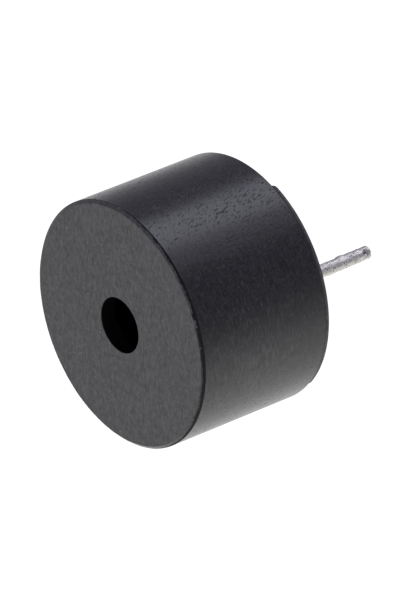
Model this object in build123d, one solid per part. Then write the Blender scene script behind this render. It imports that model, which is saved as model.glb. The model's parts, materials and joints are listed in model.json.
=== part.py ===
from build123d import *
import math
import os

# A round magnetic buzzer on two pins, in millimetres. The sound hole faces up and the pins point
# down. The origin is the middle of the seating plane, midway between the pins, so z = 0 is the
# circuit board that the buzzer is soldered to.

# Moulded case
case_diameter = 12.0
case_height = 7.5
case_wall = 0.7
front_wall = 0.8
front_chamfer = 0.15
sound_hole_diameter = 2.7
chamber_height = 1.5
ledge_width = 0.4

# Stand-off lands on the rear rim, with washing gaps between them
land_height = 0.2
land_inset = 0.05
land_half_angle = 56.0
land_corner_radius = 0.5

# Terminal pins
pin_pitch = 6.5
pin_diameter = 0.63
pin_length = 4.7
tin_thickness = 0.01
pin_tip_chamfer = 0.08
pin_head_diameter = 0.95
pin_head_thickness = 0.2

# Base board that closes the rear
board_recess = 0.6
board_thickness = 0.6
pad_thickness = 0.04
pin_pad_diameter = 2.0
lead_pad_diameter = 1.0
lead_hole_diameter = 0.3
lead_angle = 35.0

# Solder and sealing adhesive
pin_solder_diameter = 1.6
lead_solder_diameter = 0.64
lead_solder_height = 0.22
bead_width = 0.6
# How far each face is drawn into its corner: at 0 it is straight
solder_hollow = 0.25
bead_hollow = 0.2

# Magnetic drive
yoke_thickness = 0.7
pole_diameter = 2.4
tenon_diameter = 1.7
pole_stand = 0.25
air_gap = 0.25
washer_thickness = 0.08
coil_corner = 0.12
lead_space = 0.5
magnet_width = 1.15
magnet_drop = 0.65
edge_break = 0.08

# Diaphragm, its weight and the ring that carries it
diaphragm_thickness = 0.06
seat_width = 0.35
seat_depth = 0.25
lip_width = 0.27
armature_diameter = 3.5
armature_thickness = 0.3

# Ends of the winding
lead_diameter = 0.08
lead_rise = 0.3
lead_tail = 0.12

# Clearances
slide_fit = 0.05
staked_fit = 0.01
diaphragm_play = 0.03
magnet_play = 0.1
pin_play = 0.04
head_clearance = 0.3
solder_stand_off = 0.25
bead_stand_off = 0.15

# Radii that follow from the sizes above
case_radius = case_diameter / 2
bore_radius = case_radius - case_wall
chamber_radius = bore_radius - ledge_width
land_radius = case_radius - land_inset
stack_radius = bore_radius - slide_fit
pocket_radius = stack_radius - lip_width
diaphragm_radius = pocket_radius - diaphragm_play
support_bore_radius = diaphragm_radius - seat_width
magnet_radius = support_bore_radius - magnet_play
magnet_bore_radius = magnet_radius - magnet_width
coil_radius = magnet_bore_radius - lead_space
coil_bore_radius = pole_diameter / 2 + slide_fit
lead_radius = coil_radius + lead_space / 2
pin_radius = pin_diameter / 2
wire_radius = pin_radius - tin_thickness
pin_hole_radius = wire_radius + pin_play
head_relief_radius = pin_head_diameter / 2 + head_clearance

# Heights above the seating plane
chamber_top = case_height - front_wall
ledge_level = chamber_top - chamber_height
seat_level = ledge_level - seat_depth
pole_top = seat_level - air_gap
coil_top = pole_top - pole_stand
magnet_top = seat_level - magnet_drop
board_top = board_recess + board_thickness
yoke_top = board_top + yoke_thickness
coil_bottom = yoke_top + washer_thickness
pad_face = board_recess - pad_thickness
lead_level = coil_bottom + lead_rise

# The pins lie on the X axis, and the leads come down one turn of this angle past each pin
pin_place = Pos(pin_pitch / 2, 0)
lead_x = lead_radius * math.cos(math.radians(lead_angle))
lead_y = lead_radius * math.sin(math.radians(lead_angle))
lead_place = Pos(lead_x, lead_y)
half_turns = (0, 180)


def turned(*corners):
    """A solid of revolution from the corners of its half section, each a radius and a height."""
    section = make_face(Polyline(*corners, close=True))
    return revolve(Plane.XZ * section, Axis.Z)


def both_sides(shape):
    """The shape and its copy half a turn round."""
    return [Rot(0, 0, turn) * shape for turn in half_turns]


def slab(outline, bottom, top):
    """A flat outline made thick between two heights."""
    return Pos(0, 0, bottom) * extrude(outline, amount=top - bottom)


def stand_off_land():
    """One raised arc of the rear rim, set in a little from the side, with rounded outer corners."""
    outer = CenterArc((0, 0), land_radius, -land_half_angle, 2 * land_half_angle)
    inner = CenterArc((0, 0), bore_radius, -land_half_angle, 2 * land_half_angle)
    first_end = Line(outer @ 0, inner @ 0)
    last_end = Line(outer @ 1, inner @ 1)
    outline = make_face([outer, last_end, inner, first_end])
    corners = [v for v in outline.vertices() if math.hypot(v.X, v.Y) > bore_radius + land_corner_radius]
    return slab(fillet(corners, land_corner_radius), 0, land_height)


def case():
    """Cup with the sound hole in its front, a chamber behind it and a ledge that stops the stack."""
    hole_radius = sound_hole_diameter / 2
    cup = turned(
        (hole_radius, case_height),
        (case_radius - front_chamfer, case_height),
        (case_radius, case_height - front_chamfer),
        (case_radius, land_height),
        (bore_radius, land_height),
        (bore_radius, ledge_level),
        (chamber_radius, ledge_level),
        (chamber_radius, chamber_top),
        (hole_radius, chamber_top),
    )
    return cup + both_sides(stand_off_land())


def support_ring():
    """Ring that stands on the yoke and holds the diaphragm on a step inside its lip."""
    return turned(
        (support_bore_radius, yoke_top),
        (stack_radius, yoke_top),
        (stack_radius, ledge_level),
        (pocket_radius, ledge_level),
        (pocket_radius, seat_level),
        (support_bore_radius, seat_level),
    )


def diaphragm():
    """Thin disc that lies on the step of the support ring, held down by the magnet."""
    return slab(Circle(diaphragm_radius), seat_level, seat_level + diaphragm_thickness)


def armature():
    """Small disc welded to the middle of the diaphragm, to make it heavier and draw it harder."""
    bottom = seat_level + diaphragm_thickness
    disc = slab(Circle(armature_diameter / 2), bottom, bottom + armature_thickness)
    return chamfer(disc.edges().group_by(Axis.Z)[-1], edge_break)


def ring_magnet():
    """Ring that stands on the yoke round the coil, with broken edges."""
    outline = Circle(magnet_radius) - Circle(magnet_bore_radius)
    ring = slab(outline, yoke_top, magnet_top)
    return chamfer(ring.edges().group_by(Axis.Z)[-1], edge_break)


def coil_winding():
    """Self-bonded winding, taken as one ring, with fewer turns in its outermost layers."""
    ring = slab(Circle(coil_radius) - Circle(coil_bore_radius), coil_bottom, coil_top)
    outer_edges = ring.edges().filter_by(GeomType.CIRCLE).sort_by(SortBy.RADIUS)[-2:]
    return chamfer(outer_edges, coil_corner)


def insulating_washer():
    """Film washer that keeps the winding off the yoke."""
    return slab(Circle(coil_radius) - Circle(coil_bore_radius), yoke_top, coil_bottom)


def pole_core():
    """Pole with a tenon that is staked in the yoke."""
    pole = slab(Circle(pole_diameter / 2), yoke_top, pole_top)
    pole = chamfer(pole.edges().group_by(Axis.Z)[-1], edge_break)
    return pole + slab(Circle(tenon_diameter / 2), board_top, yoke_top)


def yoke_plate():
    """Disc under the magnet and the pole, relieved over the pin heads and round the leads."""
    outline = Circle(stack_radius) - Circle(tenon_diameter / 2 + staked_fit)
    outline -= both_sides(pin_place * Circle(head_relief_radius))
    outline -= both_sides(lead_place * Circle(lead_hole_diameter / 2))
    return slab(outline, board_top, yoke_top)


def base_board():
    """Round board with a hole for each pin and for each lead."""
    outline = Circle(stack_radius) - both_sides(pin_place * Circle(pin_hole_radius))
    outline -= both_sides(lead_place * Circle(lead_hole_diameter / 2))
    return slab(outline, board_recess, board_top)


def solder_pad():
    """Copper pad on the rear of the board, round at the pin and run out to the lead."""
    run = math.hypot(lead_x - pin_pitch / 2, lead_y)
    middle = Pos((lead_x + pin_pitch / 2) / 2, lead_y / 2)
    slant = Rot(0, 0, math.degrees(math.atan2(lead_y, lead_x - pin_pitch / 2)))
    outline = pin_place * Circle(pin_pad_diameter / 2)
    outline += middle * slant * SlotCenterToCenter(run, lead_pad_diameter)
    outline -= pin_place * Circle(pin_hole_radius)
    outline -= lead_place * Circle(lead_hole_diameter / 2)
    return slab(outline, pad_face, board_recess)


def terminal_pin():
    """Round wire pin, upset to a head on the board, and thicker by its tin up to the solder."""
    head_radius = pin_head_diameter / 2
    pin = turned(
        (0, -pin_length),
        (pin_radius - pin_tip_chamfer, -pin_length),
        (pin_radius, pin_tip_chamfer - pin_length),
        (pin_radius, solder_stand_off),
        (wire_radius, solder_stand_off),
        (wire_radius, board_top),
        (head_radius, board_top),
        (head_radius, board_top + pin_head_thickness),
        (0, board_top + pin_head_thickness),
    )
    return pin_place * pin


def drawn_in(foot, tip, corner, share):
    """A point that lies this share of the way from a liquid's straight face to its corner."""
    middle = (Vector(*foot) + Vector(*tip)) / 2
    return middle + (Vector(*corner) - middle) * share


def pin_solder():
    """Solder that has run from its pad down the pin, to where the pin's tin begins."""
    foot = (pin_solder_diameter / 2, pad_face)
    tip = (pin_radius, solder_stand_off)
    corner = (wire_radius, pad_face)
    face = ThreePointArc(foot, drawn_in(foot, tip, corner, solder_hollow), tip)
    section = make_face([face, Polyline(tip, (wire_radius, solder_stand_off), corner, foot)])
    return pin_place * revolve(Plane.XZ * section, Axis.Z)


def coil_lead():
    """One end of the winding, led out below the coil and bent sharply down through the board."""
    outward = (math.cos(math.radians(lead_angle)), math.sin(math.radians(lead_angle)))
    route = Polyline(
        (coil_radius * outward[0], coil_radius * outward[1], lead_level),
        (lead_x, lead_y, lead_level),
        (lead_x, lead_y, pad_face - lead_tail),
    )
    wire_section = Plane(origin=route @ 0, z_dir=route % 0) * Circle(lead_diameter / 2)
    return sweep(wire_section, path=route, transition=Transition.RIGHT)


def lead_solder():
    """Low drop of solder over the end of a lead."""
    rim_radius = lead_solder_diameter / 2
    ball_radius = (rim_radius**2 + lead_solder_height**2) / (2 * lead_solder_height)
    centre_height = pad_face - lead_solder_height + ball_radius
    ball = Pos(0, 0, centre_height) * Sphere(ball_radius)
    below_pad = slab(Circle(ball_radius), pad_face - lead_solder_height, pad_face)
    return lead_place * (ball & below_pad) - coil_lead()


def sealing_bead():
    """Adhesive in the corner between the case and the board."""
    foot = (bore_radius - bead_width, board_recess)
    tip = (bore_radius, land_height + bead_stand_off)
    corner = (bore_radius, board_recess)
    face = ThreePointArc(foot, drawn_in(foot, tip, corner, bead_hollow), tip)
    section = make_face([face, Polyline(tip, corner, foot)])
    return revolve(Plane.XZ * section, Axis.Z)


pieces = {
    "case": case(),
    "armature": armature(),
    "diaphragm": diaphragm(),
    "support_ring": support_ring(),
    "ring_magnet": ring_magnet(),
    "coil_winding": coil_winding(),
    "insulating_washer": insulating_washer(),
    "pole_core": pole_core(),
    "yoke_plate": yoke_plate(),
    "base_board": base_board(),
    "sealing_bead": sealing_bead(),
}
twins = {
    "terminal_pin": terminal_pin(),
    "solder_pad": solder_pad(),
    "pin_solder": pin_solder(),
    "coil_lead": coil_lead(),
    "lead_solder": lead_solder(),
}
for name, twin in twins.items():
    for number, turn in enumerate(half_turns, start=1):
        pieces[f"{name}_{number}"] = Rot(0, 0, turn) * twin

os.makedirs("parts", exist_ok=True)
for name, piece in pieces.items():
    piece.label = name
    export_step(piece, f"parts/{name}.step")
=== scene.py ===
import json
import math

import bpy
from mathutils import Matrix, Vector, noise


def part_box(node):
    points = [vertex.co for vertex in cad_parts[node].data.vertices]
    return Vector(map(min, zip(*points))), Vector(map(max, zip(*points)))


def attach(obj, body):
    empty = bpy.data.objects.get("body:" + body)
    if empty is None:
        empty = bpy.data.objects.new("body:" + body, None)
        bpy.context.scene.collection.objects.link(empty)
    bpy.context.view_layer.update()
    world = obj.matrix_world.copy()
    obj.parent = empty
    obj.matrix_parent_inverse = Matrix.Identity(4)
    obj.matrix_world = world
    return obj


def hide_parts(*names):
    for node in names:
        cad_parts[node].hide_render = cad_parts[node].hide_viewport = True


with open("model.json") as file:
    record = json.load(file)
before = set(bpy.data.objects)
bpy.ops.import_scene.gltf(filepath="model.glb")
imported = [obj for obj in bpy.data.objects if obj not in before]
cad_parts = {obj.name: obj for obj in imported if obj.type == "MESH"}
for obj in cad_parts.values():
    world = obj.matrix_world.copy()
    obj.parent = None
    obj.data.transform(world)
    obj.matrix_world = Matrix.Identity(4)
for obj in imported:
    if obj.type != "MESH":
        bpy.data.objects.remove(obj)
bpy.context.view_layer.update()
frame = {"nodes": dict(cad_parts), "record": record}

# The pieces come in the order in which the buzzer is put together. Sizes are in millimetres.

# Base board: a round of FR-4 glass-epoxy laminate, punched out and drilled, with green solder
# mask cured on it. It closes the rear of the case, and both pins are fixed in it.


def hex_colour(text):
    """The linear colour of an sRGB hex value."""
    levels = [int(text[i:i + 2], 16) / 255 for i in (1, 3, 5)]
    return tuple(v / 12.92 if v <= 0.04045 else ((v + 0.055) / 1.055) ** 2.4 for v in levels) + (1,)


def add_node(tree, kind, settings=(), links=()):
    """Adds a node, sets its properties and sockets, and links its inputs to (node, output)."""
    node = tree.nodes.new("ShaderNode" + kind)
    for name, value in dict(settings).items():
        if isinstance(name, int) or name in node.inputs:
            node.inputs[name].default_value = value
        else:
            setattr(node, name, value)
    for name, (source, output) in dict(links).items():
        tree.links.new(source.outputs[output], node.inputs[name])
    return node


def new_material(name):
    """An empty material with its node tree."""
    material = bpy.data.materials.new(name)
    material.use_nodes = True
    material.node_tree.nodes.clear()
    return material, material.node_tree


def noise_scale(grain):
    """The scale that gives a texture of the object's own coordinates, in metres, this grain in mm."""
    return 1000 / grain


def wave_scale(period):
    """The scale of a wave texture whose bands repeat at this distance in mm. At a scale of 1 they
    repeat each 2 pi / 20."""
    return 1000 * 2 * math.pi / 20 / period


def dress(node_name, material):
    """Gives a piece of the frame its finish."""
    slots = frame["nodes"][node_name].data.materials
    slots.clear()
    slots.append(material)


def solder_mask_on_laminate():
    """Cured green solder mask: a smooth, even gloss with the glass weave just showing through."""
    glass_yarn_spacing = 0.5
    mask_mottling = 1.6
    material, tree = new_material("green_solder_mask")
    place = add_node(tree, "TexCoord")
    mottling = add_node(tree, "TexNoise", {"Scale": noise_scale(mask_mottling), "Detail": 3.0},
                        {"Vector": (place, "Object")})
    shades = add_node(tree, "ValToRGB", {}, {"Fac": (mottling, "Fac")})
    shades.color_ramp.elements[0].color = hex_colour("#15492a")
    shades.color_ramp.elements[0].position = 0.3
    shades.color_ramp.elements[1].color = hex_colour("#1d5c35")
    shades.color_ramp.elements[1].position = 0.7
    warp = add_node(tree, "TexWave", {"Scale": wave_scale(glass_yarn_spacing), "bands_direction": "X",
                                      "Distortion": 0.4}, {"Vector": (place, "Object")})
    weft = add_node(tree, "TexWave", {"Scale": wave_scale(glass_yarn_spacing), "bands_direction": "Y",
                                      "Distortion": 0.4}, {"Vector": (place, "Object")})
    weave = add_node(tree, "Math", {"operation": "MAXIMUM"}, {0: (warp, "Fac"), 1: (weft, "Fac")})
    relief = add_node(tree, "Bump", {"Strength": 0.35, "Distance": 0.000004}, {"Height": (weave, "Value")})
    shader = add_node(tree, "BsdfPrincipled", {"Roughness": 0.32, "IOR": 1.52},
                      {"Base Color": (shades, "Color"), "Normal": (relief, "Normal")})
    add_node(tree, "OutputMaterial", {}, {"Surface": (shader, "BSDF")})
    return material


dress("base_board", solder_mask_on_laminate())

# Solder pads: copper foil etched on the rear of the board, round at the pin and run out to the
# lead, and hot-air levelled with tin. The two pads are the same, half a turn apart.


def hot_air_levelled_tin():
    """Thin tin on copper: bright and almost smooth, slightly uneven where it was blown level."""
    ripple = 0.35
    material, tree = new_material("hot_air_levelled_tin")
    place = add_node(tree, "TexCoord")
    ripples = add_node(tree, "TexNoise", {"Scale": noise_scale(ripple), "Detail": 2.0},
                       {"Vector": (place, "Object")})
    relief = add_node(tree, "Bump", {"Strength": 0.4, "Distance": 0.00001}, {"Height": (ripples, "Fac")})
    shine = add_node(tree, "MapRange", {"To Min": 0.22, "To Max": 0.42}, {"Value": (ripples, "Fac")})
    shader = add_node(tree, "BsdfPrincipled", {"Base Color": hex_colour("#cdcbc6"), "Metallic": 1.0},
                      {"Roughness": (shine, "Result"), "Normal": (relief, "Normal")})
    add_node(tree, "OutputMaterial", {}, {"Surface": (shader, "BSDF")})
    return material


pad_finish = hot_air_levelled_tin()
for number in (1, 2):
    dress(f"solder_pad_{number}", pad_finish)

# Terminal pins: copper-clad steel wire, cut from the reel, upset to a head above the board and
# dipped in tin below it. The tin froze in lumps, pits and one drop, and the shears left a dent near
# the end.
pins_mount = next(m for m in frame["record"]["mounts"] if m["name"] == "pins")
pin_pitch = pins_mount["dims"]["spacing_x_mm"]
pin_radius = pins_mount["dims"]["stud_r_mm"]
pin_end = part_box("terminal_pin_1")[0].z * 1000
board_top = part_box("base_board")[1].z * 1000
pad_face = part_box("solder_pad_1")[0].z * 1000
pin_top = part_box("terminal_pin_1")[1].z * 1000
pin_head_radius = 0.475


def turned_surface(rows, angles, place):
    """Vertices and faces of a surface of revolution: place gives the point of each row and angle.
    The first and last rows are closed by one face each."""
    vertices = [place(row, angle) for row in rows for angle in angles]
    count = len(angles)
    faces = []
    for i in range(len(rows) - 1):
        for j in range(count):
            k = (j + 1) % count
            faces.append((i * count + j, i * count + k, (i + 1) * count + k, (i + 1) * count + j))
    faces.append(tuple(range(count - 1, -1, -1)))
    faces.append(tuple((len(rows) - 1) * count + j for j in range(count)))
    return vertices, faces


def full_turn(count):
    """Angles that divide a turn evenly."""
    return [2 * math.pi * i / count for i in range(count)]


def add_piece(name, vertices, faces, materials, nodes, finish_of=None):
    """A piece made of a mesh in millimetres, in the place of some nodes of the frame."""
    mesh = bpy.data.meshes.new(name)
    mesh.from_pydata([Vector(v) / 1000 for v in vertices], [], faces)
    for material in materials:
        mesh.materials.append(material)
    if finish_of is not None:
        for face, index in zip(mesh.polygons, finish_of):
            face.material_index = index
    for face in mesh.polygons:
        face.use_smooth = True
    mesh.validate()
    piece = bpy.data.objects.new(name, mesh)
    bpy.context.scene.collection.objects.link(piece)
    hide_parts(*nodes)
    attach(piece, "root")
    return piece


def tin_thickness_at(angle, height, seed):
    """How far the dipped tin stands out from the true cylinder: soft lumps and small pits."""
    lump_size, lump_rise = 0.42, 0.022
    ripple_size, ripple_rise = 0.2, 0.012
    pit_size, pit_depth = 0.13, 0.02
    on_pin = Vector((math.cos(angle) * pin_radius, math.sin(angle) * pin_radius, height))
    lumps = noise.noise(on_pin / lump_size + Vector((seed, 0, 0)))
    ripples = noise.noise(on_pin / ripple_size + Vector((0, 0, seed)))
    pits = noise.noise(on_pin / pit_size + Vector((0, seed, 0)))
    return lump_rise * lumps + ripple_rise * ripples - pit_depth * max(0.0, pits)


def distance_on_pin(angle, height, spot):
    """How far a place on the pin is from a spot, which is given by its angle and height too."""
    spot_angle, spot_height = spot
    return math.hypot(pin_radius * math.remainder(angle - spot_angle, 2 * math.pi), height - spot_height)


def tinned_pin(number, seed):
    """One pin: the cut end with the dent of the shears, the tinned wire, and the head on the board.
    Gives its vertices, its faces and the number of each face's finish, which is 1 in and round the dent,
    where a darker tin paints the dent's shade."""
    side = 1 if number == 1 else -1
    middle = Vector((side * pin_pitch / 2, 0, 0))
    bend_at_the_end = side * Vector((-0.015, 0.04, 0))
    dent, dent_size, dent_depth = (math.radians(20), pin_end + 0.3), 0.18, 0.11
    drop, drop_size, drop_rise = (math.radians(112), pin_end + 1.6), 0.28, 0.045
    dent_shade_reach = dent_size * 0.6
    cut_edge = 0.03
    arc_middle = cut_edge * 0.3
    neck_radius, neck_height = pin_radius * 0.97, 0.02
    head_foot, head_edge = 0.04, 0.05
    tin_step, sides = 0.03, 56
    wire_length = pad_face - pin_end
    wire_rows = int(wire_length / tin_step)
    rows = [(0.0, pin_end), (pin_radius / 2, pin_end), (pin_radius - 2 * cut_edge, pin_end)]
    rows += [(pin_radius - cut_edge, pin_end), (pin_radius - arc_middle, pin_end + arc_middle)]
    rows += [(pin_radius, pin_end + cut_edge + i * wire_length / wire_rows) for i in range(wire_rows)]
    rows += [(neck_radius, board_top - neck_height), (neck_radius, board_top)]
    rows += [(pin_head_radius - head_foot, board_top), (pin_head_radius, board_top + head_edge)]
    rows += [(pin_head_radius, pin_top - head_edge), (pin_head_radius - head_edge, pin_top), (0.0, pin_top)]

    def place(row, angle):
        radius, height = row
        if radius and height < pad_face:
            radius += tin_thickness_at(angle, height, seed) * radius / pin_radius
            from_dent = distance_on_pin(angle, height, dent)
            radius -= dent_depth * max(0.0, 1 - (from_dent / dent_size) ** 2)
            from_drop = distance_on_pin(angle, height, drop)
            radius += drop_rise * max(0.0, 1 - (from_drop / drop_size) ** 2)
        point = Vector((radius * math.cos(angle), radius * math.sin(angle), height))
        return middle + point + bend_at_the_end * max(0.0, height / pin_end) ** 2

    angles = full_turn(sides)
    vertices, faces = turned_surface(rows, angles, place)
    finish_of = [0] * len(faces)
    for i, (radius, height) in enumerate(rows[:-1]):
        for j, angle in enumerate(angles):
            # Faces in and round the dent take the darker tin: painted shade in the dent.
            if radius > pin_radius / 2 and distance_on_pin(angle, height, dent) < dent_shade_reach:
                finish_of[i * sides + j] = 1
    return vertices, faces, finish_of


def dipped_tin(name, darkest, lightest):
    """Hot-dipped tin, which froze dull and rough: grey-white, speckled, with dark pits."""
    crystal, pit, stain = 0.1, 0.17, 0.5
    material, tree = new_material(name)
    place = add_node(tree, "TexCoord")
    crystals = add_node(tree, "TexNoise", {"Scale": noise_scale(crystal), "Detail": 4.0, "Roughness": 0.65},
                        {"Vector": (place, "Object")})
    pits = add_node(tree, "TexVoronoi", {"Scale": noise_scale(pit)}, {"Vector": (place, "Object")})
    stains = add_node(tree, "TexNoise", {"Scale": noise_scale(stain), "Detail": 2.0},
                      {"Vector": (place, "Object")})
    pit_depth = add_node(tree, "MapRange", {"From Max": 0.32}, {"Value": (pits, "Distance")})
    height = add_node(tree, "Math", {"operation": "MULTIPLY"},
                      {0: (crystals, "Fac"), 1: (pit_depth, "Result")})
    relief = add_node(tree, "Bump", {"Strength": 0.8, "Distance": 0.00002}, {"Height": (height, "Value")})
    colour = add_node(tree, "ValToRGB", {}, {"Fac": (height, "Value")})
    colour.color_ramp.elements[0].color = hex_colour(darkest)
    colour.color_ramp.elements[0].position = 0.1
    colour.color_ramp.elements[1].color = hex_colour(lightest)
    colour.color_ramp.elements[1].position = 0.55
    shine = add_node(tree, "MapRange", {"To Min": 0.42, "To Max": 0.64}, {"Value": (stains, "Fac")})
    shader = add_node(tree, "BsdfPrincipled", {"Metallic": 1.0},
                      {"Base Color": (colour, "Color"), "Roughness": (shine, "Result"),
                       "Normal": (relief, "Normal")})
    add_node(tree, "OutputMaterial", {}, {"Surface": (shader, "BSDF")})
    return material


# The second finish is the same tin in darker colours: painted shade in the dent of the shears.
pin_finishes = [dipped_tin("hot_dipped_tin", "#6d6c6a", "#dddad4"),
                dipped_tin("tin_painted_with_shade_in_the_dent", "#4a4a48", "#8c8a86")]
for number, seed in ((1, 3.7), (2, 9.2)):
    pin_vertices, pin_faces, pin_finish_of = tinned_pin(number, seed)
    add_piece(f"tinned_pin_{number}", pin_vertices, pin_faces, pin_finishes,
              [f"terminal_pin_{number}"], pin_finish_of)

# Pin solder: tin solder that wetted the pad and climbed the pin, hand or wave soldered. It froze
# bright, with a rim that isn't quite round.
solder_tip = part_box("pin_solder_1")[0].z * 1000
solder_foot_radius = 0.8


def solder_fillet(number, seed):
    """The hollow cone of solder round one pin. Its inside lies within the tinned wire."""
    middle = Vector((pin_pitch / 2 if number == 1 else -pin_pitch / 2, 0, 0))
    steps, sides = 18, 72
    inner_radius, inner_top = pin_radius - 0.03, solder_tip + 0.08
    foot_edge, tip_edge = 0.015, 0.012
    lowest_tip, tip_unevenness, foot_unevenness = solder_tip + 0.05, 0.09, 0.07
    wander, hollowness = 1.3, 1.9
    rows = [("inner", pad_face), ("foot", 0.0)] + [("face", i / steps) for i in range(steps + 1)]
    rows += [("inner", inner_top)]

    def place(row, angle):
        kind, value = row
        unevenness = noise.noise(Vector((math.cos(angle) * wander, math.sin(angle) * wander, seed)))
        foot_radius = solder_foot_radius * (1 + foot_unevenness * unevenness)
        tip_height = lowest_tip + tip_unevenness * unevenness
        if kind == "inner":
            radius, height = inner_radius, value
        elif kind == "foot":
            radius, height = foot_radius - foot_edge, pad_face
        else:
            radius = foot_radius + (pin_radius + tip_edge - foot_radius) * value
            height = pad_face - foot_edge + (tip_height - pad_face + foot_edge) * value ** hollowness
        return middle + Vector((radius * math.cos(angle), radius * math.sin(angle), height))

    return turned_surface(rows, full_turn(sides), place)


def frozen_solder():
    """Frozen solder: bright, with a soft ripple and slightly duller grains."""
    ripple, grain = 0.3, 0.06
    material, tree = new_material("frozen_solder")
    place = add_node(tree, "TexCoord")
    ripples = add_node(tree, "TexNoise", {"Scale": noise_scale(ripple), "Detail": 2.0},
                       {"Vector": (place, "Object")})
    grains = add_node(tree, "TexVoronoi", {"Scale": noise_scale(grain)}, {"Vector": (place, "Object")})
    relief = add_node(tree, "Bump", {"Strength": 0.35, "Distance": 0.00002}, {"Height": (ripples, "Fac")})
    shine = add_node(tree, "MapRange", {"To Min": 0.16, "To Max": 0.34}, {"Value": (grains, "Distance")})
    shader = add_node(tree, "BsdfPrincipled", {"Base Color": hex_colour("#c9c8c4"), "Metallic": 1.0},
                      {"Roughness": (shine, "Result"), "Normal": (relief, "Normal")})
    add_node(tree, "OutputMaterial", {}, {"Surface": (shader, "BSDF")})
    return material


solder_finish = frozen_solder()
for number, seed in ((1, 1.4), (2, 6.1)):
    cone_vertices, cone_faces = solder_fillet(number, seed)
    add_piece(f"solder_cone_{number}", cone_vertices, cone_faces, [solder_finish],
              [f"pin_solder_{number}"])

# Yoke plate and pole core: low-carbon steel, the plate stamped and the pole turned, both nickel
# plated. The pole's tenon is staked in the plate, and the plate lies on the board.


def nickel_plated_steel():
    """Barrel-plated nickel on stamped steel: a warm grey satin with fine tumbling marks, which are
    drawn coarser than the real ones, so that they show."""
    tumbling_mark = 0.05
    material, tree = new_material("nickel_plated_steel")
    place = add_node(tree, "TexCoord")
    marks = add_node(tree, "TexNoise", {"Scale": noise_scale(tumbling_mark), "Detail": 3.0},
                     {"Vector": (place, "Object")})
    relief = add_node(tree, "Bump", {"Strength": 0.2, "Distance": 0.000004}, {"Height": (marks, "Fac")})
    shine = add_node(tree, "MapRange", {"To Min": 0.2, "To Max": 0.38}, {"Value": (marks, "Fac")})
    shader = add_node(tree, "BsdfPrincipled", {"Base Color": hex_colour("#b8b2a6"), "Metallic": 1.0},
                      {"Roughness": (shine, "Result"), "Normal": (relief, "Normal")})
    add_node(tree, "OutputMaterial", {}, {"Surface": (shader, "BSDF")})
    return material


plated_finish = nickel_plated_steel()
for node_name in ("yoke_plate", "pole_core"):
    dress(node_name, plated_finish)

# Insulating washer: polyester film, punched out. It lies under the winding and keeps the enamelled
# wire off the steel plate.


def polyester_film():
    """Clear amber film: thin, smooth and a little cloudy."""
    cloudiness = 0.8
    material, tree = new_material("polyester_film")
    place = add_node(tree, "TexCoord")
    clouds = add_node(tree, "TexNoise", {"Scale": noise_scale(cloudiness)}, {"Vector": (place, "Object")})
    shades = add_node(tree, "ValToRGB", {}, {"Fac": (clouds, "Fac")})
    shades.color_ramp.elements[0].color = hex_colour("#a8752a")
    shades.color_ramp.elements[1].color = hex_colour("#c08c3c")
    shader = add_node(tree, "BsdfPrincipled", {"Roughness": 0.25, "IOR": 1.64},
                      {"Base Color": (shades, "Color")})
    add_node(tree, "OutputMaterial", {}, {"Surface": (shader, "BSDF")})
    return material


dress("insulating_washer", polyester_film())

# Coil winding and its two leads: enamelled copper wire 0.08 mm thick, wound in layers and bonded
# to itself by heat. Each end goes down through the plate and the board to its pad.
wire_diameter = 0.08


def enamelled_copper_wire():
    """Enamelled copper: a clear red-brown gloss over metal, ridged by the turns."""
    material, tree = new_material("enamelled_copper_wire")
    place = add_node(tree, "TexCoord")
    turns = add_node(tree, "TexWave", {"Scale": wave_scale(wire_diameter), "bands_direction": "Z",
                                       "Distortion": 0.3}, {"Vector": (place, "Object")})
    # The colour follows the turns' relief, darker in the grooves between turns and lighter on their crests:
    # painted shade and highlight.
    shades = add_node(tree, "ValToRGB", {}, {"Fac": (turns, "Fac")})
    shades.color_ramp.elements[0].color = hex_colour("#5d2612")
    shades.color_ramp.elements[1].color = hex_colour("#b4643a")
    relief = add_node(tree, "Bump", {"Strength": 0.9, "Distance": 0.00003}, {"Height": (turns, "Fac")})
    shader = add_node(tree, "BsdfPrincipled", {"Metallic": 0.8, "Roughness": 0.3, "Coat Weight": 0.6,
                                               "Coat Roughness": 0.12},
                      {"Base Color": (shades, "Color"), "Normal": (relief, "Normal")})
    add_node(tree, "OutputMaterial", {}, {"Surface": (shader, "BSDF")})
    return material


wire_finish = enamelled_copper_wire()
for node_name in ("coil_winding", "coil_lead_1", "coil_lead_2"):
    dress(node_name, wire_finish)

# Lead solder: a low drop of the same solder over the end of each lead, on the lobe of its pad.
for number in (1, 2):
    dress(f"lead_solder_{number}", solder_finish)

# Ring magnet: strontium ferrite, pressed and sintered, its ends ground flat. It stands on the yoke
# round the coil and holds the diaphragm down.


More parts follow.
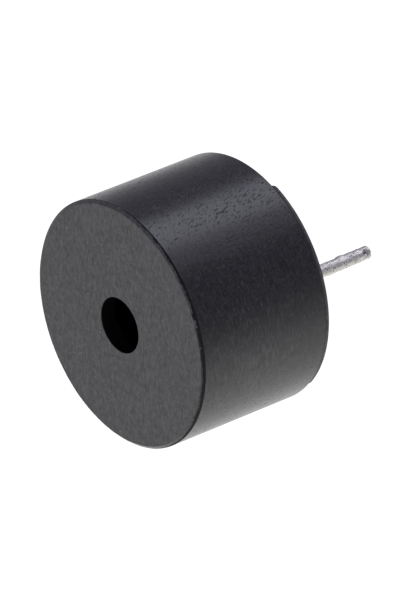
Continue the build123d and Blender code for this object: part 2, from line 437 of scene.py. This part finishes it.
def sintered_ferrite():
    """Ground ferrite: a dull charcoal grey, faintly grainy, with fine grinding lines. The real grains
    and lines are much finer, and they are drawn coarser, so that they show."""
    grain, grinding_line = 0.06, 0.12
    material, tree = new_material("sintered_ferrite")
    place = add_node(tree, "TexCoord")
    grains = add_node(tree, "TexNoise", {"Scale": noise_scale(grain), "Detail": 3.0},
                      {"Vector": (place, "Object")})
    lines = add_node(tree, "TexWave", {"Scale": wave_scale(grinding_line), "bands_direction": "X",
                                       "Distortion": 2.0}, {"Vector": (place, "Object")})
    shades = add_node(tree, "ValToRGB", {}, {"Fac": (grains, "Fac")})
    shades.color_ramp.elements[0].color = hex_colour("#2b2a2b")
    shades.color_ramp.elements[1].color = hex_colour("#454345")
    height = add_node(tree, "Math", {"operation": "ADD"}, {0: (grains, "Fac"), 1: (lines, "Fac")})
    relief = add_node(tree, "Bump", {"Strength": 0.3, "Distance": 0.000005}, {"Height": (height, "Value")})
    shader = add_node(tree, "BsdfPrincipled", {"Roughness": 0.5, "Metallic": 0.2},
                      {"Base Color": (shades, "Color"), "Normal": (relief, "Normal")})
    add_node(tree, "OutputMaterial", {}, {"Surface": (shader, "BSDF")})
    return material


dress("ring_magnet", sintered_ferrite())

# Support ring: glass-filled polyester, moulded. It stands on the yoke outside the magnet, and the
# diaphragm lies on the step inside its lip.


def moulded_natural_polyester():
    """Natural glass-filled polyester: off-white and satin, with faint flow marks."""
    flow_mark = 0.9
    material, tree = new_material("natural_glass_filled_polyester")
    place = add_node(tree, "TexCoord")
    marks = add_node(tree, "TexNoise", {"Scale": noise_scale(flow_mark), "Detail": 4.0},
                     {"Vector": (place, "Object")})
    shades = add_node(tree, "ValToRGB", {}, {"Fac": (marks, "Fac")})
    shades.color_ramp.elements[0].color = hex_colour("#cfc9ba")
    shades.color_ramp.elements[1].color = hex_colour("#ded9cc")
    relief = add_node(tree, "Bump", {"Strength": 0.2, "Distance": 0.00001}, {"Height": (marks, "Fac")})
    shader = add_node(tree, "BsdfPrincipled", {"Roughness": 0.45, "IOR": 1.57},
                      {"Base Color": (shades, "Color"), "Normal": (relief, "Normal")})
    add_node(tree, "OutputMaterial", {}, {"Surface": (shader, "BSDF")})
    return material


dress("support_ring", moulded_natural_polyester())

# Diaphragm and armature: a disc of cold-rolled nickel-iron foil, and a thicker disc of the same
# alloy that is spot welded to its middle. The foil is held on its step by the magnet alone.


def rolled_nickel_iron():
    """Cold-rolled nickel-iron: a silky silver-grey with fine lines along the rolling direction."""
    roll_line_width, roll_line_length = 0.02, 1.2
    material, tree = new_material("rolled_nickel_iron")
    place = add_node(tree, "TexCoord")
    along, across = noise_scale(roll_line_length), noise_scale(roll_line_width)
    stretched = add_node(tree, "Mapping", {"Scale": (along, across, along)}, {"Vector": (place, "Object")})
    lines = add_node(tree, "TexNoise", {"Scale": 1.0, "Detail": 3.0}, {"Vector": (stretched, "Vector")})
    relief = add_node(tree, "Bump", {"Strength": 0.25, "Distance": 0.000003}, {"Height": (lines, "Fac")})
    shine = add_node(tree, "MapRange", {"To Min": 0.22, "To Max": 0.36}, {"Value": (lines, "Fac")})
    shader = add_node(tree, "BsdfPrincipled", {"Base Color": hex_colour("#aeaba4"), "Metallic": 1.0},
                      {"Roughness": (shine, "Result"), "Normal": (relief, "Normal")})
    add_node(tree, "OutputMaterial", {}, {"Surface": (shader, "BSDF")})
    return material


foil_finish = rolled_nickel_iron()
for node_name in ("diaphragm", "armature"):
    dress(node_name, foil_finish)

# Case: one injection moulding in black glass-filled polyester, a cup with the sound hole in its
# front. The front is grained by the mould, the side is plain, and two raised lands on the rear rim
# stand on the circuit board, with washing gaps between them. The drive is pushed in from the rear.
case_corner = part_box("case")[1] * 1000
case_radius, case_height = case_corner.x, case_corner.z
sound_port = next(m for m in frame["record"]["mounts"] if m["name"] == "sound_port")
hole_radius = sound_port["dims"]["r_mm"]
front_wall = sound_port["dims"]["length_mm"]
bore_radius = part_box("sealing_bead")[1].x * 1000
ledge_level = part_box("support_ring")[1].z * 1000
ledge_width = 0.4
front_chamfer = 0.15
land_height = 0.2
land_edge = 0.03
case_finishes = {"side": 0, "rim": 0, "front": 1, "edge": 2, "inside": 3}  # material of each part


def rounded_corner(before, corner, after, radius, steps=5):
    """Points of an arc that rounds a corner, and a point a little before and after it, so that the
    flats beside it shade flat."""
    to_before = (Vector(before) - Vector(corner)).normalized()
    to_after = (Vector(after) - Vector(corner)).normalized()
    half_angle = to_before.angle(to_after) / 2
    setback = radius / math.tan(half_angle)
    middle = Vector(corner) + (to_before + to_after).normalized() * radius / math.sin(half_angle)
    start = Vector(corner) + to_before * setback - middle
    end = Vector(corner) + to_after * setback - middle
    arc = [middle + start.slerp(end, i / steps) * radius for i in range(steps + 1)]
    margin = radius / 2
    return [arc[0] + to_before * margin, *arc, arc[-1] + to_after * margin]


def case_section():
    """Half section of the cup as (radius, height, part of the case), once round from the sound hole.
    The chamfer has rows of its own, because its finish changes across it."""
    chamber_radius = bore_radius - ledge_width
    chamber_top = case_height - front_wall
    hole_edge, chamfer_front_edge, chamfer_side_edge = 0.035, 0.03, 0.035
    rim_edge, bore_edge, ledge_edge, chamber_corner = 0.05, 0.04, 0.05, 0.1
    chamfer_rows = 8
    corners = [
        (hole_radius, case_height, hole_edge, "front"),
        (case_radius - front_chamfer, case_height, chamfer_front_edge, "chamfer"),
        (case_radius, case_height - front_chamfer, chamfer_side_edge, "side"),
        (case_radius, land_height, rim_edge, "rim"),
        (bore_radius, land_height, bore_edge, "inside"),
        (bore_radius, ledge_level, ledge_edge, "inside"),
        (chamber_radius, ledge_level, ledge_edge, "inside"),
        (chamber_radius, chamber_top, chamber_corner, "inside"),
        (hole_radius, chamber_top, hole_edge, "inside"),
    ]
    section = []
    for i, (radius, height, rounding, after) in enumerate(corners):
        before, following = corners[i - 1], corners[(i + 1) % len(corners)]
        points = rounded_corner(before[:2], (radius, height), following[:2], rounding)
        if before[3] == "chamfer":
            start = Vector(section[-1][:2])
            for step in range(1, chamfer_rows):
                point = start.lerp(points[0], step / chamfer_rows)
                section.append((point.x, point.y, "chamfer"))
        for j, point in enumerate(points):
            part = before[3] if j < len(points) // 2 else after
            # The rounding of the rear rim takes the near black edge finish: painted shade for the dark line
            # along the rim.
            if after == "rim" and 0 < j < len(points) - 2:
                part = "edge"
            section.append((point.x, point.y, part))
    return section


def chamfer_part(radius, angle):
    """The finish of the chamfer: an outer band of uneven width in the near black of painted shade, widest on
    one side, and beside it the plain finish of the side or the grained one of the front."""
    most_shaded_angle, plainest_angle = math.radians(-15), math.radians(315)
    least_black, more_black, black_raggedness = 0.1, 0.62, 0.2
    plain_above, plain_raggedness = 0.55, 0.3
    slow_waves, fast_waves = 11, 50
    direction = Vector((math.cos(angle), math.sin(angle), 0))
    unevenness = noise.noise(direction * slow_waves) + noise.noise(direction * fast_waves)
    # The near black outer band paints the chamfer's shade: widest towards one side of the case and narrower
    # away from it.
    shade_share = least_black + more_black * max(0.0, math.cos(angle - most_shaded_angle))
    shade_share += black_raggedness * unevenness
    if (case_radius - radius) / front_chamfer < shade_share:
        return "edge"
    plainness = math.cos(angle - plainest_angle) + plain_raggedness * unevenness
    return "side" if plainness > plain_above else "front"


def case_mesh():
    """Vertices and faces of the cup, with the number of each face's finish. The edge between the
    front and the chamfer is slightly ragged."""
    sides = 480
    ragged_reach, slow_raggedness, fast_raggedness = 0.05, 0.015, 0.012
    slow_waves, fast_waves = 9, 45
    section, angles = case_section(), full_turn(sides)
    rows, columns = len(section), len(angles)
    vertices = []
    for radius, height, part in section:
        from_edge = abs(radius - case_radius + front_chamfer)
        share = max(0.0, 1 - from_edge / ragged_reach) if part in ("front", "chamfer") else 0.0
        for angle in angles:
            direction = Vector((math.cos(angle), math.sin(angle), 0))
            ragged = slow_raggedness * noise.noise(direction * slow_waves)
            ragged += fast_raggedness * noise.noise(direction * fast_waves)
            point = direction * (radius + share * ragged)
            vertices.append((point.x, point.y, height))
    faces, finish_of = [], []
    for i in range(rows):
        below = (i + 1) % rows
        radius, part = section[i][0], section[i][2]
        for j in range(columns):
            k = (j + 1) % columns
            faces.append((i * columns + j, below * columns + j, below * columns + k, i * columns + k))
            face_part = chamfer_part(radius, angles[j]) if part == "chamfer" else part
            finish_of.append(case_finishes[face_part])
    return vertices, faces, finish_of


def land_mesh(middle_angle):
    """Vertices and faces of one land: a low curved block with rounded corners, sunk into the rim.
    Its rows go from the outer wall over the seat to the inner wall, and its columns from end to end."""
    land_radius = case_radius - 0.04
    land_half_angle = math.radians(57.0)
    land_corner, sunk, inner_edge, from_bore = 0.5, 0.05, 0.02, 0.004
    corner_steps, half_steps = 14, 50
    top = land_height + sunk
    rows = [("outer", 0.0, top)]
    rows += [("outer", p.x, p.y) for p in rounded_corner((0, 1), (0, 0), (1, 0), land_edge)]
    rows += [("inner", p.x, p.y) for p in rounded_corner((1, 0), (0, 0), (0, 1), inner_edge)]
    rows += [("inner", 0.0, top)]
    columns = []
    for i in range(corner_steps + 1):
        turned = math.pi / 2 * (1 - i / corner_steps)
        radius = land_radius - land_corner * (1 - math.cos(turned))
        columns.append((land_corner * (1 - math.sin(turned)) / radius - land_half_angle, radius, -turned))
    first_end = list(columns)
    arc_half = -columns[-1][0]
    columns += [(arc_half * (i / half_steps - 1), land_radius, 0.0) for i in range(1, 2 * half_steps)]
    columns += [(-angle, radius, -turned) for angle, radius, turned in reversed(first_end)]
    vertices = []
    for side, offset, height in rows:
        for angle, radius, turned in columns:
            if side == "outer":
                reach, shift = radius - offset * math.cos(turned), offset
            else:
                reach, shift = bore_radius + from_bore + offset, max(0.0, land_edge - height)
            angle_here = middle_angle + angle - shift * math.sin(turned) / radius
            vertices.append((reach * math.cos(angle_here), reach * math.sin(angle_here), height))
    count, faces = len(columns), []
    for i in range(len(rows)):
        below = (i + 1) % len(rows)
        for j in range(count - 1):
            faces.append((i * count + j, i * count + j + 1, below * count + j + 1, below * count + j))
    faces.append(tuple(i * count for i in range(len(rows))))
    faces.append(tuple(i * count + count - 1 for i in range(len(rows) - 1, -1, -1)))
    return vertices, faces


def moulded_black_side():
    """Plain moulded polyester: near black and semi-glossy, cloudy, with short slanting pits crowded
    at one place, faint scuffs, and grey scratches round the case at another."""
    orange_peel, wave = 0.16, 2.4
    pit_width, pit_length, pit_direction = 0.085, 0.25, Vector((-0.24, 0.22, -0.945))
    pitted_place, pitted_reach = Vector((4.4, 4.1, 2.6)), 6.0
    scuff_width, scuff_length, scuff_direction = 0.05, 1.0, Vector((-0.62, 0.6, -0.5))
    scratch_width, scratch_length = 0.09, 0.42
    scratched_place, scratched_reach = Vector((5.5, -2.3, 4.6)), 5.5
    along_x = Vector((1, 0, 0))
    material, tree = new_material("moulded_black_polyester_side")
    place = add_node(tree, "TexCoord")

    # The pits: spots drawn out along their direction, and more of them near their place.
    turned = add_node(tree, "Mapping", {"Rotation": pit_direction.rotation_difference(along_x).to_euler()},
                      {"Vector": (place, "Object")})
    along, across = noise_scale(pit_length), noise_scale(pit_width)
    drawn = add_node(tree, "Mapping", {"Scale": (along, across, across)}, {"Vector": (turned, "Vector")})
    spots = add_node(tree, "TexNoise", {"Scale": 1.0, "Detail": 2.0}, {"Vector": (drawn, "Vector")})
    from_pitted = add_node(tree, "VectorMath", {"operation": "DISTANCE", 1: pitted_place / 1000},
                           {0: (place, "Object")})
    density = add_node(tree, "MapRange", {"From Max": pitted_reach / 1000, "To Min": 0.06, "To Max": -0.05},
                       {"Value": (from_pitted, "Value")})
    crowded = add_node(tree, "Math", {"operation": "ADD"}, {0: (spots, "Fac"), 1: (density, "Result")})
    pits = add_node(tree, "MapRange", {"From Min": 0.58, "From Max": 0.73}, {"Value": (crowded, "Value")})

    # The relief: a long wave and a fine orange peel, with the pits sunk in it.
    waves = add_node(tree, "TexNoise", {"Scale": noise_scale(wave), "Detail": 3.0},
                     {"Vector": (place, "Object")})
    peel = add_node(tree, "TexNoise", {"Scale": noise_scale(orange_peel), "Detail": 3.0},
                    {"Vector": (place, "Object")})
    peel_relief = add_node(tree, "Bump", {"Strength": 0.3, "Distance": 0.000008}, {"Height": (peel, "Fac")})
    wave_relief = add_node(tree, "Bump", {"Strength": 0.3, "Distance": 0.00004},
                           {"Height": (waves, "Fac"), "Normal": (peel_relief, "Normal")})
    relief = add_node(tree, "Bump", {"Strength": 0.6, "Distance": 0.000009, "invert": True},
                      {"Height": (pits, "Result"), "Normal": (wave_relief, "Normal")})

    # The gloss: uneven where the case was scuffed, and dull in the pits.
    slanted = add_node(tree, "Mapping", {"Rotation": scuff_direction.rotation_difference(along_x).to_euler()},
                       {"Vector": (place, "Object")})
    along, across = noise_scale(scuff_length), noise_scale(scuff_width)
    rubbed = add_node(tree, "Mapping", {"Scale": (along, across, across)}, {"Vector": (slanted, "Vector")})
    scuffs = add_node(tree, "TexNoise", {"Scale": 1.0, "Detail": 2.0}, {"Vector": (rubbed, "Vector")})
    shine = add_node(tree, "MapRange", {"From Min": 0.3, "From Max": 0.7, "To Min": 0.2, "To Max": 0.36},
                     {"Value": (scuffs, "Fac")})
    dullness = add_node(tree, "MapRange", {"To Max": 0.45}, {"Value": (pits, "Result")})
    roughness = add_node(tree, "Math", {"operation": "ADD"}, {0: (shine, "Result"), 1: (dullness, "Result")})

    # The colour: near black clouds, greyed by scratches near their place.
    along, across = noise_scale(scratch_length), noise_scale(scratch_width)
    circled = add_node(tree, "Mapping", {"Scale": (along, along, across)}, {"Vector": (place, "Object")})
    scratches = add_node(tree, "TexNoise", {"Scale": 1.0, "Detail": 3.0, "Roughness": 0.6},
                         {"Vector": (circled, "Vector")})
    rubbing = add_node(tree, "Math", {"operation": "ADD"}, {0: (scratches, "Fac"), 1: (peel, "Fac")})
    greyness = add_node(tree, "MapRange", {"From Min": 0.75, "From Max": 1.25}, {"Value": (rubbing, "Value")})
    clouds = add_node(tree, "ValToRGB", {}, {"Fac": (greyness, "Result")})
    clouds.color_ramp.elements[0].color = hex_colour("#111214")
    clouds.color_ramp.elements[1].color = hex_colour("#2f2f31")
    from_scratched = add_node(tree, "VectorMath", {"operation": "DISTANCE", 1: scratched_place / 1000},
                              {0: (place, "Object")})
    wear = add_node(tree, "MapRange", {"From Max": scratched_reach / 1000, "To Min": 0.12, "To Max": -0.1},
                    {"Value": (from_scratched, "Value")})
    worn = add_node(tree, "Math", {"operation": "ADD"}, {0: (scratches, "Fac"), 1: (wear, "Result")})
    scratch_share = add_node(tree, "MapRange", {"From Min": 0.54, "From Max": 0.72},
                             {"Value": (worn, "Value")})
    greyed = add_node(tree, "MixRGB", {"Color2": hex_colour("#464647")},
                      {"Fac": (scratch_share, "Result"), "Color1": (clouds, "Color")})

    shader = add_node(tree, "BsdfPrincipled", {"IOR": 1.5},
                      {"Base Color": (greyed, "Color"), "Roughness": (roughness, "Value"),
                       "Normal": (relief, "Normal")})
    add_node(tree, "OutputMaterial", {}, {"Surface": (shader, "BSDF")})
    return material


def grained_black_front():
    """Mould-grained polyester: matt dark grey, with a fine grain, light specks and faint streaks one way."""
    grain, speck, streak_width, streak_length = 0.24, 0.13, 0.12, 0.32
    streak_x, streak_y = 0.242, 0.970
    streak_turn = math.atan2(streak_y, streak_x)
    material, tree = new_material("grained_black_polyester_front")
    place = add_node(tree, "TexCoord")
    grains = add_node(tree, "TexNoise", {"Scale": noise_scale(grain), "Detail": 4.0, "Roughness": 0.6},
                      {"Vector": (place, "Object")})
    turned = add_node(tree, "Mapping", {"Rotation": (0, 0, -streak_turn)}, {"Vector": (place, "Object")})
    along, across = noise_scale(streak_length), noise_scale(streak_width)
    drawn = add_node(tree, "Mapping", {"Scale": (along, across, across)}, {"Vector": (turned, "Vector")})
    streaks = add_node(tree, "TexNoise", {"Scale": 1.0, "Detail": 2.0}, {"Vector": (drawn, "Vector")})
    specks = add_node(tree, "TexNoise", {"Scale": noise_scale(speck), "Detail": 1.0},
                      {"Vector": (place, "Object")})
    height = add_node(tree, "Math", {"operation": "ADD"}, {0: (grains, "Fac"), 1: (streaks, "Fac")})
    relief = add_node(tree, "Bump", {"Strength": 0.5, "Distance": 0.00001}, {"Height": (height, "Value")})
    mottling = add_node(tree, "MapRange", {"From Min": 0.75, "From Max": 1.25}, {"Value": (height, "Value")})
    shades = add_node(tree, "ValToRGB", {}, {"Fac": (mottling, "Result")})
    shades.color_ramp.elements[0].color = hex_colour("#414140")
    shades.color_ramp.elements[1].color = hex_colour("#5f5f60")
    speck_share = add_node(tree, "MapRange", {"From Min": 0.66, "From Max": 0.76, "To Max": 0.45},
                           {"Value": (specks, "Fac")})
    speckled = add_node(tree, "MixRGB", {"Color2": hex_colour("#8a8a88")},
                        {"Fac": (speck_share, "Result"), "Color1": (shades, "Color")})
    shader = add_node(tree, "BsdfPrincipled", {"Roughness": 0.6, "IOR": 1.5},
                      {"Base Color": (speckled, "Color"), "Normal": (relief, "Normal")})
    add_node(tree, "OutputMaterial", {}, {"Surface": (shader, "BSDF")})
    return material


def painted_shade_edge_finish():
    """Painted shade along the front's chamfer and the rear rim: a rough, porous surface in near black,
    standing for the shade that lies along these edges.
    """
    pore = 0.05
    material, tree = new_material("polyester_edge_painted_shade")
    place = add_node(tree, "TexCoord")
    pores = add_node(tree, "TexNoise", {"Scale": noise_scale(pore), "Detail": 2.0},
                     {"Vector": (place, "Object")})
    shades = add_node(tree, "ValToRGB", {}, {"Fac": (pores, "Fac")})
    # These near black colours are painted shade.
    shades.color_ramp.elements[0].color = hex_colour("#060606")
    shades.color_ramp.elements[1].color = hex_colour("#141414")
    relief = add_node(tree, "Bump", {"Strength": 0.7, "Distance": 0.00001}, {"Height": (pores, "Fac")})
    shader = add_node(tree, "BsdfPrincipled", {"Roughness": 0.75, "IOR": 1.5, "Specular IOR Level": 0.35},
                      {"Base Color": (shades, "Color"), "Normal": (relief, "Normal")})
    add_node(tree, "OutputMaterial", {}, {"Surface": (shader, "BSDF")})
    return material


def smooth_black_inside():
    """The hole and the inside, moulded on smooth cores: clean, deep black with a soft gloss."""
    flow_mark = 0.8
    material, tree = new_material("smooth_black_polyester_inside")
    place = add_node(tree, "TexCoord")
    marks = add_node(tree, "TexNoise", {"Scale": noise_scale(flow_mark), "Detail": 2.0},
                     {"Vector": (place, "Object")})
    relief = add_node(tree, "Bump", {"Strength": 0.2, "Distance": 0.00001}, {"Height": (marks, "Fac")})
    shine = add_node(tree, "MapRange", {"To Min": 0.26, "To Max": 0.38}, {"Value": (marks, "Fac")})
    shader = add_node(tree, "BsdfPrincipled", {"Base Color": hex_colour("#0d0d0e"), "IOR": 1.5},
                      {"Roughness": (shine, "Result"), "Normal": (relief, "Normal")})
    add_node(tree, "OutputMaterial", {}, {"Surface": (shader, "BSDF")})
    return material


case_vertices, case_faces, case_finish_of = case_mesh()
for middle_angle in (0.0, math.pi):
    land_vertices, land_faces = land_mesh(middle_angle)
    case_faces += [tuple(len(case_vertices) + index for index in face) for face in land_faces]
    case_vertices += land_vertices
    case_finish_of += [case_finishes["front"]] * len(land_faces)
# The third finish, the near black edge, is painted shade along the chamfer and the rear rim.
add_piece("moulded_case", case_vertices, case_faces,
          [moulded_black_side(), grained_black_front(), painted_shade_edge_finish(), smooth_black_inside()],
          ["case"], case_finish_of)

# Sealing bead: black epoxy adhesive, run round the corner between case and board and cured. It is
# glossy, and its inner edge wanders where it stopped flowing.


def bead_mesh():
    """Vertices and faces of the bead: a closed ring with a hollow, uneven face. Its first row is in
    the corner of case and board, and the others cross the face from the board to the case."""
    bead_low, bead_top = (corner.z * 1000 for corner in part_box("sealing_bead"))
    bead_width, usual_share, unevenness = 0.6, 0.92, 0.16
    sag, hollowness = 0.04, 1.5
    slow_waves, slow_seed, fast_waves, fast_seed, fast_share = 2.2, 4.0, 7, 8.0, 0.4
    steps, sides = 14, 360
    rows = [("corner", 1.0)] + [("face", i / steps) for i in range(steps + 1)]

    def place(row, angle):
        kind, share = row
        if kind == "corner":
            return (bore_radius * math.cos(angle), bore_radius * math.sin(angle), bead_top)
        x, y = math.cos(angle), math.sin(angle)
        flow = noise.noise(Vector((x * slow_waves, y * slow_waves, slow_seed)))
        flow += fast_share * noise.noise(Vector((x * fast_waves, y * fast_waves, fast_seed)))
        width = bead_width * (usual_share + unevenness * flow)
        low = bead_low + sag * (1 + flow)
        radius = bore_radius - width * (1 - share)
        height = bead_top - (bead_top - low) * share ** hollowness
        return (radius * x, radius * y, height)

    angles = full_turn(sides)
    vertices = [place(row, angle) for row in rows for angle in angles]
    count, faces = len(angles), []
    for i in range(len(rows)):
        below = (i + 1) % len(rows)
        for j in range(count):
            k = (j + 1) % count
            faces.append((i * count + j, i * count + k, below * count + k, below * count + j))
    return vertices, faces


def cured_black_epoxy():
    """Cured epoxy: deep black gloss, very slightly rippled."""
    ripple = 0.7
    material, tree = new_material("cured_black_epoxy")
    place = add_node(tree, "TexCoord")
    ripples = add_node(tree, "TexNoise", {"Scale": noise_scale(ripple), "Detail": 2.0},
                       {"Vector": (place, "Object")})
    relief = add_node(tree, "Bump", {"Strength": 0.4, "Distance": 0.00003}, {"Height": (ripples, "Fac")})
    shine = add_node(tree, "MapRange", {"To Min": 0.1, "To Max": 0.22}, {"Value": (ripples, "Fac")})
    shader = add_node(tree, "BsdfPrincipled", {"Base Color": hex_colour("#161617"), "IOR": 1.55},
                      {"Roughness": (shine, "Result"), "Normal": (relief, "Normal")})
    add_node(tree, "OutputMaterial", {}, {"Surface": (shader, "BSDF")})
    return material


bead_vertices, bead_faces = bead_mesh()
add_piece("epoxy_bead", bead_vertices, bead_faces, [cured_black_epoxy()], ["sealing_bead"])

# Camera: where the photograph was taken from, a long lens that looks down on the sound hole from
# the side of pin 1, held at a slant so that the buzzer seems to lie on its side.
camera_place = Vector((286.04, 107.52, 207.49))
camera_forward = Vector((-0.77747, -0.29318, -0.5564)).normalized()
camera_up = Vector((-0.1341, 0.94163, -0.30879))
focal_length_in_pixels = 8000
image_height = 601

camera_right = camera_forward.cross(camera_up).normalized()
camera_up = camera_right.cross(camera_forward)
camera_data = bpy.data.cameras.new("camera")
camera_data.sensor_width = 36
camera_data.lens = focal_length_in_pixels * camera_data.sensor_width / image_height
camera_data.clip_start, camera_data.clip_end = 0.01, 20
camera = bpy.data.objects.new("camera", camera_data)
turn = Matrix((camera_right, camera_up, -camera_forward)).transposed()
camera.matrix_world = Matrix.Translation(camera_place / 1000) @ turn.to_4x4()
bpy.context.scene.collection.objects.link(camera)
bpy.context.scene.camera = camera

# Floor and backdrop: a white floor far below the pins and a white dome round it, both evenly
# bright, as in a light tent. Only the camera sees them, and the light comes from the next section.
floor_level, floor_thickness = -450.0, 1.0
dome_radius, dome_bands, ground_sides = 900.0, 24, 48
tent_brightness = 1.1


def even_white(name, level):
    """A plain surface that gives off the same white all over."""
    material, tree = new_material(name)
    light = add_node(tree, "Emission", {"Color": (1, 1, 1, 1), "Strength": level})
    add_node(tree, "OutputMaterial", {}, {"Surface": (light, "Emission")})
    return material


def add_ground(name, rings, sides, material):
    """A surface of revolution that only the camera sees, and that is no part of the object."""
    vertices, faces = turned_surface(rings, full_turn(sides), lambda ring, angle: Vector(
        (ring[0] * math.cos(angle), ring[0] * math.sin(angle), ring[1])))
    mesh = bpy.data.meshes.new(name)
    mesh.from_pydata([v / 1000 for v in vertices], [], faces)
    mesh.materials.append(material)
    ground = bpy.data.objects.new(name, mesh)
    bpy.context.scene.collection.objects.link(ground)
    ground.visible_diffuse = ground.visible_glossy = ground.visible_shadow = False


tent_white = even_white("tent_white", tent_brightness)
floor_radius = math.sqrt(dome_radius**2 - floor_level**2)
floor_rings = [(floor_radius, floor_level - floor_thickness), (floor_radius, floor_level)]
add_ground("floor", floor_rings, ground_sides, tent_white)
dome_angles = [math.pi * (i / dome_bands - 0.5) for i in range(1, dome_bands)]
dome_rings = [(dome_radius * math.cos(t), dome_radius * math.sin(t)) for t in dome_angles]
add_ground("dome", dome_rings, ground_sides, tent_white)

# Light: the white walls of the tent round the buzzer, brightest on the side that it lies on in the
# photograph, and on the opposite side a softbox with a weaker skirt, both a little blue.
photo_up = Vector((0.242, 0.970, 0.0)).normalized()


def from_camera(right, up, away):
    """A direction that is given as the camera sees it."""
    return (camera_right * right + camera_up * up + camera_forward * away).normalized()


def add_softbox(name, middle_direction, across, distance, width, length, radiance, colour):
    """A flat lamp that faces the buzzer and that the camera doesn't see."""
    data = bpy.data.lights.new(name, "AREA")
    data.shape = "RECTANGLE"
    data.size, data.size_y = width / 1000, length / 1000
    data.color = colour
    data.energy = radiance * math.pi * data.size * data.size_y
    lamp = bpy.data.objects.new(name, data)
    side = (across - across.project(middle_direction)).normalized()
    upward = middle_direction.cross(side)
    turn = Matrix((side, upward, middle_direction)).transposed()
    lamp.matrix_world = Matrix.Translation(middle_direction * distance / 1000) @ turn.to_4x4()
    lamp.visible_camera = False
    bpy.context.scene.collection.objects.link(lamp)


def tent_light():
    """The light of the tent's walls: it falls off from the white bottom to the dim, bluish top. Each
    level is a height in the tent, from -1 to 1, and the light there."""
    tilt_to_camera = 0.2
    tent_up = (photo_up - from_camera(0, 0, 1) * tilt_to_camera).normalized()
    levels = ((-0.8, 1.13), (-0.6, 1.08), (-0.45, 1.06), (-0.26, 0.78),
              (-0.1, 0.52), (0.0, 0.42), (0.17, 0.31), (0.4, 0.24))
    white_above, least_blue, more_blue = 0.9, 0.06, 0.2
    bluer_below, bluer_range = 0.4, 0.16
    strength = 2.0
    room = bpy.data.worlds.new("tent")
    room.use_nodes = True
    tree = room.node_tree
    tree.nodes.clear()
    place = add_node(tree, "TexCoord")
    height = add_node(tree, "VectorMath", {"operation": "DOT_PRODUCT", 1: tent_up}, {0: (place, "Generated")})
    share = add_node(tree, "MapRange", {"From Min": -1.0, "From Max": 1.0}, {"Value": (height, "Value")})
    shades = add_node(tree, "ValToRGB", {}, {"Fac": (share, "Result")})
    ramp = shades.color_ramp
    ramp.elements.remove(ramp.elements[1])
    for i, (level_height, level) in enumerate(levels):
        stop = ramp.elements[0] if i == 0 else ramp.elements.new((level_height + 1) / 2)
        stop.position = (level_height + 1) / 2
        blueness = least_blue + more_blue * max(0.0, bluer_below - level) / bluer_range
        if level > white_above:
            blueness = 0.0
        grey = level / strength
        stop.color = (grey, grey, grey * (1 + blueness), 1)
    light = add_node(tree, "Background", {"Strength": strength}, {"Color": (shades, "Color")})
    add_node(tree, "OutputWorld", {}, {"Surface": (light, "Background")})
    return room


bpy.context.scene.world = tent_light()
softbox_axis = from_camera(0.35, 0.935, 0.0)
softbox_side = from_camera(0.39, -0.17, -0.42)
skirt_axis = from_camera(0.44, 0.88, -0.16)
add_softbox("softbox", softbox_axis, softbox_side, distance=260.0, width=130.0, length=300.0,
            radiance=1.45, colour=(1.0, 1.0, 1.15))
add_softbox("softbox_skirt", skirt_axis, softbox_side, distance=270.0, width=210.0, length=320.0,
            radiance=0.45, colour=(1.0, 1.0, 1.1))
bpy.context.scene.view_settings.view_transform = "Standard"
